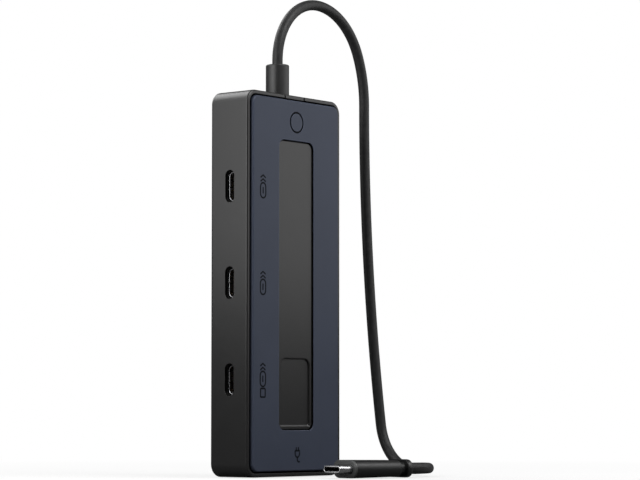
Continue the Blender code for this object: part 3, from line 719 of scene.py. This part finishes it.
def build_cover():
    centre = (0.0, (COVER_LOW + COVER_HIGH) / 2)
    window_centre = (0.0, (WINDOW_LOW + WINDOW_HIGH) / 2)

    def outer(inset, y):
        height = COVER_HIGH - COVER_LOW - 2 * inset
        radius = max(COVER_R - inset, 1.0)
        return on_xz(box_outline(COVER_W - 2 * inset, height, radius, CORNER_STEPS, centre), y)

    def window(grow, y):
        height = WINDOW_HIGH - WINDOW_LOW + 2 * grow
        radius = WINDOW_R + grow
        return on_xz(box_outline(WINDOW_W + 2 * grow, height, radius, CORNER_STEPS, window_centre), y)

    top, soft = COVER_TOP_Y, COVER_EDGE_R
    rings = [outer(inset, y) for inset, y in quarter((soft, top), (0.0, top + soft), (0.0, top), 6)]
    rings += [outer(0.0, COVER_UNDER_Y), outer(SKIRT_FROM, COVER_UNDER_Y)]
    rings += [outer(SKIRT_FROM, SKIRT_END_Y), outer(SKIRT_TO, SKIRT_END_Y), outer(SKIRT_TO, COVER_UNDER_Y)]
    rings += [window(REBATE, COVER_UNDER_Y), window(REBATE, LIP_UNDER_Y), window(0.0, LIP_UNDER_Y)]
    edge = quarter((0.0, top + WINDOW_EDGE_R), (WINDOW_EDGE_R, top), (0.0, top), 4)
    rings += [window(grow, y) for grow, y in edge]
    cover = make("cover", [loft(rings, ring_round=True)], NAVY)
    inner, deep = RING_R - RING_LINE, top + RING_DEPTH
    profile = ((inner, top - 0.3), (RING_R, top - 0.3), (RING_R, deep), (inner, deep))
    points, faces = lathe(profile, "Y")
    tool = make("ring_cut", [([(x, y, z + RING_Z) for x, y, z in points], faces)], None)
    carve(cover, [tool])
    # The walls inside the window get the near-black painted shade.
    cover.data.materials.append(MOUTH_SHADE_LOOK)
    for face in cover.data.polygons:
        middle = (face.center - ORIGIN) / MM
        within = abs(middle.x) < WINDOW_W / 2 + 0.1 and WINDOW_LOW - 0.1 < middle.z < WINDOW_HIGH + 0.1
        if within and middle.y > top + 0.16:
            face.material_index = 1
    settle(cover, "hub", "navy_plastic", "top_cover")

    inner, outside, low = inner + 0.02, RING_R - 0.02, deep - 0.02
    profile = ((inner, low - 0.05), (outside, low - 0.05), (outside, low + 0.02), (inner, low + 0.02))
    points, faces = lathe(profile, "Y")
    ring = make("ring_mark", [([(x, y, z + RING_Z) for x, y, z in points], faces)], INK_LOOK)
    settle(ring, "hub", "black_plastic")


def build_panel():
    grow = REBATE - 0.3
    height = WINDOW_HIGH - WINDOW_LOW + 2 * grow
    centre = (0.0, (WINDOW_LOW + WINDOW_HIGH) / 2)
    plate = box_outline(WINDOW_W + 2 * grow, height, WINDOW_R + grow, CORNER_STEPS, centre)
    rings = [on_xz(plate, PANEL_TO.y), on_xz(plate, PANEL_Y + PANEL_STEP)]
    levels = ((0.0, PANEL_STEP), (0.0, 0.1), (0.03, 0.03), (0.1, 0.0))
    for inset, y in [(PANEL_INSET + soft, PANEL_Y + down) for soft, down in levels]:
        size = (WINDOW_W - 2 * inset, WINDOW_HIGH - WINDOW_LOW - 2 * inset)
        rings.append(on_xz(box_outline(*size, WINDOW_R - inset, CORNER_STEPS, centre), y))
    panel = make("panel", [loft(rings)], PANEL)

    def pocket(grow_by, low, y):
        half = POCKET_HALF_W + grow_by
        top = POCKET_HIGH + grow_by
        corners = ((-half, low), (half, low), (half, top), (-half, top))
        return on_xz(rounded(corners, (0.8, 0.8, 2.3 + grow_by, 2.3 + grow_by), 10), y)

    rings = [pocket(POCKET_EDGE_R, POCKET_LOW - 0.02, PANEL_Y - 0.2)]
    low_edge, low_floor = (POCKET_LOW, PANEL_Y), (POCKET_LOW + POCKET_SLOPE, PANEL_Y + POCKET_DEPTH)
    for low, y in quarter(low_edge, low_floor, (low_edge[0], low_floor[1]), 9):
        above = max(0.0, POCKET_EDGE_R - (y - PANEL_Y))
        rings.append(pocket(POCKET_EDGE_R - sqrt(POCKET_EDGE_R ** 2 - above ** 2), low, y))
    carve(panel, [make("pocket_cut", [loft(rings)], None)])
    settle(panel, "hub", "panel_plastic", "centre_panel")


def ribbon(points, closed=False):
    """A flat strip of ink along (x, z) points on the navy face."""
    path = [Vector(p) for p in points]
    count = len(path)
    left, right = [], []
    for i, here in enumerate(path):
        before = path[i - 1] if i or closed else here
        after = path[(i + 1) % count] if i + 1 < count or closed else here
        heading = (after - before).normalized()
        side = Vector((-heading.y, heading.x)) * MARK_LINE / 2
        left.append(here + side)
        right.append(here - side)
    top, low = COVER_TOP_Y - INK, COVER_TOP_Y + 0.04
    rings = []
    for a, b in zip(left, right):
        rings.append([(a.x, top, a.y), (b.x, top, b.y), (b.x, low, b.y), (a.x, low, a.y)])
    return loft(rings, ring_round=closed)


def outlined(centre, width, height, radius, steps):
    return ribbon(box_outline(width, height, radius, steps, centre), closed=True)


def build_marks():
    """Plain pictograms: a port outline under two arrowheads, a screen, and a mains plug."""
    x = MARK_X
    for name, height in PORTS.items():
        z = height + (0.3 if name == "lower" else -1.25)
        strokes = [outlined((x, z), 2.5, 4.6, 1.25, 8), ribbon([(x, z - 1.0), (x, z + 1.0)])]
        for tip in (z + 3.5, z + 4.7):
            strokes.append(ribbon([(x - 1.2, tip - 0.8), (x, tip), (x + 1.2, tip - 0.8)]))
        if name == "lower":
            strokes.append(outlined((x, z - 4.2), 2.2, 2.6, 0.3, 4))
        mark = make("mark_" + name, strokes, INK_LOOK)
        settle(mark, "hub", "black_plastic")
    x, z = POWER_MARK
    bowl = [(x - 1.1, z + 0.9)]
    bowl += [(x - 1.1 * cos(t * pi / 10), z + 0.2 - 1.3 * sin(t * pi / 10)) for t in range(11)]
    bowl += [(x + 1.1, z + 0.9)]
    strokes = [ribbon(bowl + [(x - 1.1, z + 0.9)])]
    strokes += [ribbon([(x + s * 0.55, z + 0.9), (x + s * 0.55, z + 2.0)]) for s in (-1, 1)]
    cord = [(x, z - 1.1), (x, z - 1.9)]
    cord += [(x + 0.8 - 0.8 * cos(t * pi / 12), z - 1.9 - 0.6 * sin(t * pi / 12)) for t in range(1, 9)]
    strokes.append(ribbon(cord))
    mark = make("mark_power", strokes, INK_LOOK)
    settle(mark, "hub", "black_plastic")


# Receptacles -----------------------------------------------------------------------------------------


def rolled_lip(wall, steps=8):
    """(inward, depth) pairs round a half-round edge as thick as the wall."""
    turns = [pi * k / steps for k in range(steps + 1)]
    return [(wall / 2 * (1 - cos(t)), wall / 2 * (1 - sin(t))) for t in turns]


def build_receptacle(name, place):
    front = PORT_WALL + SHELL_SET
    back = front + SHELL_LENGTH
    bore = (SHELL_OUT[0] - 2 * SHELL_WALL, SHELL_OUT[1] - 2 * SHELL_WALL)

    def section(inward, depth):
        return place(box_outline(SHELL_OUT[0] - 2 * inward, SHELL_OUT[1] - 2 * inward, 9.0, 10), depth)

    rings = [section(0.0, back)]
    rings += [section(inward, front + depth) for inward, depth in rolled_lip(SHELL_WALL)]
    rings.append(section(SHELL_WALL, back - 0.5))
    shell = make(name + "_receptacle", [loft(rings)], PORT_STEEL)
    seam = box_outline(0.14, 0.8, 0.02, 1, (0.0, SHELL_OUT[1] / 2))
    carve(shell, [make(name + "_seam", [loft([place(seam, front - 0.2), place(seam, back - 1.2)])], None)])
    settle(shell, "hub", "bright_steel", name + "_port_shell")

    root = back - 0.8
    end = root - TONGUE_LENGTH
    block = box_outline(bore[0] - 0.3, bore[1] - 0.3, 1.0, 10)
    collar = box_outline(TONGUE[0] + 0.4, TONGUE[1] + 0.5, 0.3, 10)
    blade = box_outline(*TONGUE, 0.2, 10)
    nose = box_outline(TONGUE[0] - 0.5, TONGUE[1] - 0.3, 0.15, 10)
    levels = ((block, root), (block, root - TONGUE_BLOCK), (collar, root - TONGUE_BLOCK))
    levels += ((collar, root - 2.3), (blade, root - 2.5), (blade, end + 0.35), (nose, end))
    parts = [place(outline, depth) for outline, depth in levels]
    tongue = make(name + "_tongue", [loft(parts)], TONGUE_LOOK)
    settle(tongue, "hub", "tongue_resin", name + "_port_tongue")

    plates = []
    for face in (-1, 1):
        for k, along in enumerate(CONTACT_ROW):
            pad = box_outline(0.25, 0.06, 0.02, 1, (along, face * (TONGUE[1] / 2 + 0.005)))
            start = end + (1.2 if k in LONG_CONTACTS else 1.6)
            plates.append(loft([place(pad, start), place(pad, root - 2.6)]))
    contacts = make(name + "_contacts", plates, GOLD, weighted=False)
    settle(contacts, "hub", "bright_steel")


# Cable -----------------------------------------------------------------------------------------------


class Path:
    """Straights and arcs through the flexing points, each tangent to the one before."""

    def __init__(self, start, heading, knots):
        self.stretches = []
        self.stops = []
        self.length = 0.0
        point = np.array(start)
        heading = np.array(heading)
        for knot in knots:
            chord = np.array(knot) - point
            reach = float(np.linalg.norm(chord))
            chord = chord / reach
            half = acos(min(1.0, float(heading.dot(chord))))
            side = chord - heading * heading.dot(chord)
            side = side / max(float(np.linalg.norm(side)), 1e-9)
            length = reach * half / sin(half) if half > 1e-4 else reach
            self.stretches.append((self.length, length, 2 * half, point, heading, side))
            self.length += length
            self.stops.append(self.length)
            point, heading = self.at(self.length), self.heading(self.length)

    def stretch(self, distance):
        return [stretch for stretch in self.stretches if stretch[0] <= distance][-1]

    def at(self, distance):
        start, length, turn, point, heading, side = self.stretch(distance)
        gone = distance - start
        if turn < 2e-4:
            return point + heading * gone
        angle = turn * gone / length
        return point + length / turn * (heading * sin(angle) + side * (1 - cos(angle)))

    def heading(self, distance):
        start, length, turn, point, heading, side = self.stretch(distance)
        angle = turn * (distance - start) / length
        return heading * cos(angle) + side * sin(angle)


def tube(path, stops, radius):
    """Rings square to the path at each stop, each turned as little as it can be from the one before."""
    rings = []
    side = np.array((0.0, 1.0, 0.0)) if abs(path.heading(stops[0])[1]) < 0.7 else np.array((0.0, 0.0, 1.0))
    for distance in stops:
        heading = path.heading(distance)
        side = side - heading * side.dot(heading)
        side = side / np.linalg.norm(side)
        other = np.cross(heading, side)
        centre = path.at(distance)
        ring = []
        for k in range(CABLE_SIDES):
            turn = 2 * pi * k / CABLE_SIDES
            ring.append(centre + radius * (side * cos(turn) + other * sin(turn)))
        rings.append(ring)
    return rings


def build_cable():
    """One sheath piece per flexing joint, from the middle of one length to the middle of the next."""
    names = [joint["name"] for joint in frame["joints"]]
    start = (0.0, 0.0, box_mm("cable_root")[0].z)
    path = Path(start, (0.0, 0.0, 1.0), [(JOINT_AT[name] - ORIGIN) / MM for name in names])
    at = path.stops
    cuts = [(a + b) / 2 for a, b in zip(at, at[1:])]

    def rows(low, high):
        return np.linspace(low, high, max(3, int((high - low) / CABLE_ROW)) + 1)

    starts = [at[0] - SKIN_LEAD] + cuts
    for i, name in enumerate(names[:-1]):
        low, high = starts[i], cuts[i]
        skin = loft(tube(path, rows(low, high), CABLE_R))
        piece = make(f"sheath_{i + 1:02d}", [skin], SHEATH, weighted=False)
        reach = BEND_SHARE * min(at[i] - low, high - at[i])
        start = hub_place(path.at(at[i] - reach))
        end = hub_place(path.at(at[i] + reach))
        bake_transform(piece)
        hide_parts(BODY_AFTER[name])
    root = make("sheath_root", [loft(tube(path, rows(0.0, starts[0]), CABLE_R))], SHEATH, weighted=False)
    settle(root, "hub", "cable_sheath", "cable_root")

    last = names[-1]
    skin = loft(tube(path, rows(cuts[-1], path.length), CABLE_R))
    tail = make("sheath_tail", [skin], SHEATH, weighted=False)
    start = hub_place(path.at(path.length - TAIL_BEND))
    end = JOINT_AT[last] + (JOINT_AT[last] - start) * 0.4
    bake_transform(tail)


def build_boot():
    """The strain relief: flange and neck in the wall, and a smooth sleeve with soft ends."""
    bore, top, base = CABLE_R + 0.06, BOOT_TOP, HUB_L + 0.12
    inner = HUB_L - WALL_T - 0.3
    profile = [(bore, inner - 1.6), (BOOT_FLANGE_R, inner - 1.6), (BOOT_FLANGE_R, inner)]
    profile += [(BOOT_NECK_R, inner), (BOOT_NECK_R, base)]
    profile += quarter((BOOT_R - 0.2, base), (BOOT_R, base + 0.2), (BOOT_R, base), 4)
    edge = BOOT_EDGE_R
    profile += quarter((BOOT_R, top - edge), (BOOT_R - edge, top), (BOOT_R, top), 8)
    profile += quarter((bore + 0.35, top), (bore, top - 0.35), (bore, top), 4)
    boot = make("boot", [lathe(profile, "Z")], BOOT_LOOK)
    settle(boot, "hub", "black_plastic", "strain_relief_boot")


# Plug ------------------------------------------------------------------------------------------------


def plug_ring(size, x, radius=9.0):
    return [(x, p[0], p[1]) for p in box_outline(*size, radius, 16)]


def shrunk(size, by):
    return (size[0] - by, size[1] - by)


def between(first, second, share):
    return tuple(a + (b - a) * share for a, b in zip(first, second))


def build_collar():
    rings = [plug_ring(shrunk(COLLAR_REAR, 0.4), 0.02), plug_ring(COLLAR_REAR, 0.25)]
    for share, x in ((0.25, 0.45), (0.55, 0.75), (0.80, 1.15), (0.94, 1.6), (1.0, 2.1)):
        rings.append(plug_ring(between(COLLAR_REAR, COLLAR_SIZE, share), x))
    for shrink, x in quarter((0.0, COLLAR_TO - 0.3), (0.6, COLLAR_TO), (0.0, COLLAR_TO), 4):
        rings.append(plug_ring(shrunk(COLLAR_SIZE, shrink), x))
    collar = make("collar", [loft(rings)], BLACK, plug_place, sharp=50)
    settle(collar, "plug", "black_plastic", "plug_collar")


def build_overmold():
    cavity = shrunk(PLUG_SHELL, -0.3)
    rings = [plug_ring(NECK_SIZE, COLLAR_TO + 0.02), plug_ring(NECK_SIZE, OVERMOLD_FROM)]
    for shrink, x in quarter((1.6, OVERMOLD_FROM), (0.0, OVERMOLD_FROM + 0.8), (0.0, OVERMOLD_FROM), 7):
        rings.append(plug_ring(shrunk(OVERMOLD_REAR, shrink), x))
    for k in range(1, 9):
        share = k / 8
        x = OVERMOLD_FROM + 0.8 + share * (OVERMOLD_TO - OVERMOLD_FROM - 0.8)
        rings.append(plug_ring(between(OVERMOLD_REAR, OVERMOLD_FRONT, share), x))
    rings += [plug_ring(cavity, OVERMOLD_TO), plug_ring(cavity, PLUG_SHELL_ROOT - 6.2)]
    body = make("overmold", [loft(rings)], BLACK, plug_place)
    settle(body, "plug", "black_plastic", "plug_overmold")


def build_front_plate():
    near, face = OVERMOLD_TO + 0.04, OVERMOLD_FRONT
    rings = [plug_ring(shrunk(face, 0.12), near), plug_ring(face, near + 0.06)]
    for shrink, x in quarter((0.0, PLATE_TO - 0.38), (0.76, PLATE_TO), (0.0, PLATE_TO), 7):
        rings.append(plug_ring(shrunk(face, shrink), x))
    for grow, x in quarter((0.2, PLATE_TO), (0.0, PLATE_TO - 0.1), (0.0, PLATE_TO), 3):
        rings.append(plug_ring(shrunk(PLUG_SHELL, -0.14 - grow), x))
    rings.append(plug_ring(shrunk(PLUG_SHELL, -0.14), near))
    plate = make("front_plate", [loft(rings, ring_round=True)], PLATE, plug_place)
    settle(plate, "plug", "plate_plastic", "plug_front_plate")


def build_plug_tip():
    """The plug's shell, with the contact carrier and spring contacts inside it."""
    bore = shrunk(PLUG_SHELL, 2 * PLUG_SHELL_WALL)
    tip = PLUG_SHELL_TIP
    rings = [plug_ring(PLUG_SHELL, PLUG_SHELL_ROOT)]
    for k in range(1, 6):
        rings.append(plug_ring(PLUG_SHELL, PLUG_SHELL_ROOT + k / 5 * (tip - 0.9 - PLUG_SHELL_ROOT)))
    mouth = shrunk(PLUG_SHELL, 2 * PLUG_TAPER)
    rings += [plug_ring(between(PLUG_SHELL, mouth, 0.35), tip - 0.5)]
    rim = quarter((0.0, PLUG_RIM_R), (PLUG_RIM_R, 0.0), (0.0, 0.0), 4)
    rim += quarter((PLUG_RIM - PLUG_RIM_R, 0.0), (PLUG_RIM, PLUG_RIM_R), (PLUG_RIM, 0.0), 4)
    rings += [plug_ring(shrunk(mouth, 2 * inward), tip - depth) for inward, depth in rim]
    rings += [plug_ring(shrunk(mouth, 2 * PLUG_RIM), tip - 0.5), plug_ring(bore, tip - 0.75)]
    rings.append(plug_ring(bore, PLUG_SHELL_ROOT))
    shell = make("tip_shell", [loft(rings, ring_round=True)], STEEL, plug_place)
    settle(shell, "plug", "bright_steel", "plug_shell")

    carrier, hollow = shrunk(bore, 0.08), shrunk(bore, 1.0)
    rings = [
        plug_ring(carrier, PLUG_SHELL_ROOT + 0.2), plug_ring(carrier, tip - 0.9),
        plug_ring(hollow, tip - 0.9), plug_ring(hollow, PLUG_SHELL_ROOT + 2.6),
    ]
    core = make("contact_carrier", [loft(rings)], TONGUE_LOOK, plug_place)
    settle(core, "plug", "black_plastic", "plug_contact_carrier")
    springs = []
    for face_side in (-1, 1):
        for along in CONTACT_ROW:
            rings = []
            bends = ((PLUG_SHELL_ROOT + 2.7, 0.0), (tip - 5.0, 0.05), (tip - 4.1, 0.17), (tip - 3.6, 0.08))
            for x, lift in bends:
                level = face_side * (hollow[1] / 2 - 0.03 - lift)
                ring = [(x, along - 0.12, level - 0.03), (x, along + 0.12, level - 0.03)]
                ring += [(x, along + 0.12, level + 0.03), (x, along - 0.12, level + 0.03)]
                rings.append(ring)
            springs.append(loft(rings))
    contacts = make("spring_contacts", springs, GOLD, plug_place, weighted=False)
    settle(contacts, "plug", "bright_steel")


# Carried-over parts ------------------------------------------------------------------------------------


def paint_nodes():
    """Procedural finishes for the parts inside, which keep their CAD shapes."""
    finishes = {
        "main_board": BOARD, "plug_board": BOARD, "hub_controller": CHIP, "power_controller": CHIP,
        "display_switch": CHIP, "flash_memory": CHIP, "clock_crystal": TIN, "shield_can": TIN,
        "thermal_pad": PAD, "power_inductor": FERRITE, "input_capacitor": CERAMIC,
        "output_capacitor": CERAMIC, "cable_header": BLACK, "cable_crimp": TIN,
        "board_screw_left_low": STEEL, "board_screw_left_high": STEEL,
        "board_screw_right_low": STEEL, "board_screw_right_high": STEEL,
    }
    for name, look in finishes.items():
        node = frame["nodes"][name]
        node.data.materials.clear()
        node.data.materials.append(look)


# Studio ------------------------------------------------------------------------------------------------


def build_floor():
    """A pale round floor that fades to the backdrop's white."""
    mesh = bpy.data.meshes.new("studio_floor")
    steps = 48
    points = [(0.0, 0.0, 0.0)]
    faces = []
    for r in FLOOR_RADII_M:
        points += [(r * cos(2 * pi * k / steps), r * sin(2 * pi * k / steps), 0.0) for k in range(steps)]
    for k in range(steps):
        faces.append((0, 1 + k, 1 + (k + 1) % steps))
    for i in range(len(FLOOR_RADII_M) - 1):
        here, there = 1 + i * steps, 1 + (i + 1) * steps
        for k in range(steps):
            after = (k + 1) % steps
            faces.append((here + k, there + k, there + after, here + after))
    mesh.from_pydata(points, [], faces)
    floor = bpy.data.objects.new("studio_floor", mesh)
    floor.location = (0.0, 0.0, CAD_BOX[0][2] - 0.0002)
    bpy.context.scene.collection.objects.link(floor)
    look = Look("studio_white", roughness=0.6)
    tree = look.tree
    look.shader.inputs["Base Color"].default_value = (0.86, 0.86, 0.86, 1.0)
    look.shader.inputs["Specular IOR Level"].default_value = 0.1
    glow = look.add("Emission")
    glow.inputs["Color"].default_value = (1.0, 1.0, 1.0, 1.0)
    distance = look.add("VectorMath", operation="LENGTH")
    look.join(look.place, distance, "Vector")
    fade = look.spread(distance.outputs["Value"], 0.72, 1.0, 0.05, 0.30)
    seen = look.add("MixShader")
    tree.links.new(fade, seen.inputs["Fac"])
    tree.links.new(look.shader.outputs["BSDF"], seen.inputs[1])
    tree.links.new(glow.outputs["Emission"], seen.inputs[2])
    unseen = look.add("BsdfDiffuse")
    unseen.inputs["Color"].default_value = (0.12, 0.12, 0.12, 1.0)
    ray = look.add("LightPath")
    chosen = look.add("MixShader")
    tree.links.new(ray.outputs["Is Camera Ray"], chosen.inputs["Fac"])
    tree.links.new(unseen.outputs["BSDF"], chosen.inputs[1])
    tree.links.new(seen.outputs["Shader"], chosen.inputs[2])
    tree.links.new(chosen.outputs["Shader"], tree.nodes["Material Output"].inputs["Surface"])
    mesh.materials.append(look.material)
    floor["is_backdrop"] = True


def area_light(name, at, aim, width, height, power):
    """A soft box at a place in millimetres, facing another, with power in watts."""
    lamp = bpy.data.lights.new(name, "AREA")
    lamp.shape = "RECTANGLE"
    lamp.size = width * MM
    lamp.size_y = height * MM
    lamp.energy = power
    obj = bpy.data.objects.new(name, lamp)
    obj.location = hub_place(at)
    direction = Vector(aim) - Vector(at)
    obj.rotation_euler = direction.to_track_quat("-Z", "Y").to_euler()
    obj.visible_camera = False
    bpy.context.scene.collection.objects.link(obj)
    return obj


def lit_only(lamp, *names):
    """Keeps a lamp's light, and the shadows that it casts, to the pieces named."""
    group = bpy.data.collections.new(lamp.name + "_pieces")
    for name in names:
        group.objects.link(bpy.data.objects[name])
    lamp.light_linking.receiver_collection = group
    lamp.light_linking.blocker_collection = group


def build_world():
    """White to the camera, and a dim even grey to everything else."""
    world = bpy.data.worlds.new("studio_air")
    world.use_nodes = True
    tree = world.node_tree
    plain = tree.nodes["Background"]
    plain.inputs["Color"].default_value = (1.0, 1.0, 1.0, 1.0)
    plain.inputs["Strength"].default_value = 0.05
    seen = tree.nodes.new("ShaderNodeBackground")
    seen.inputs["Color"].default_value = (1.0, 1.0, 1.0, 1.0)
    ray = tree.nodes.new("ShaderNodeLightPath")
    mixer = tree.nodes.new("ShaderNodeMixShader")
    tree.links.new(ray.outputs["Is Camera Ray"], mixer.inputs["Fac"])
    tree.links.new(plain.outputs["Background"], mixer.inputs[1])
    tree.links.new(seen.outputs["Background"], mixer.inputs[2])
    tree.links.new(mixer.outputs["Shader"], tree.nodes["World Output"].inputs["Surface"])
    bpy.context.scene.world = world


def build_studio():
    build_floor()
    build_world()
    for name, (at, aim, width, height, power) in SOFTBOXES.items():
        area_light(name, at, aim, width, height, power)
    tip = (plug_place((PLUG_SHELL_TIP, 0.0, 0.0)) - ORIGIN) / MM
    glint = area_light("plug_glint", tip + Vector(GLINT_FROM_TIP), tip, 160.0, 160.0, 0.09)
    lit_only(glint, "tip_shell", "front_plate")
    lens = bpy.data.cameras.new("camera")
    lens.lens = LENS_MM
    lens.sensor_width = SENSOR_MM
    lens.clip_start = 0.01
    camera = bpy.data.objects.new("camera", lens)
    camera.location = hub_place(CAMERA_AT)
    camera.rotation_euler = Euler((radians(90.0 + CAMERA_RISE), 0.0, radians(CAMERA_TURN)))
    bpy.context.scene.collection.objects.link(camera)
    bpy.context.scene.camera = camera
    bpy.context.scene.view_settings.view_transform = "Standard"


build_casing()
build_gate()
build_feet()
build_cover()
build_panel()
build_marks()
for port_name, port_height in PORTS.items():
    build_receptacle(port_name, side_place(port_height))
build_receptacle("power", end_place)
build_boot()
build_cable()
build_collar()
build_overmold()
build_front_plate()
build_plug_tip()
paint_nodes()
build_studio()

boxes = {"cad": CAD_BOX, "visual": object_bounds()}
{key: [[float(v) for v in corner] for corner in box] for key, box in boxes.items()}
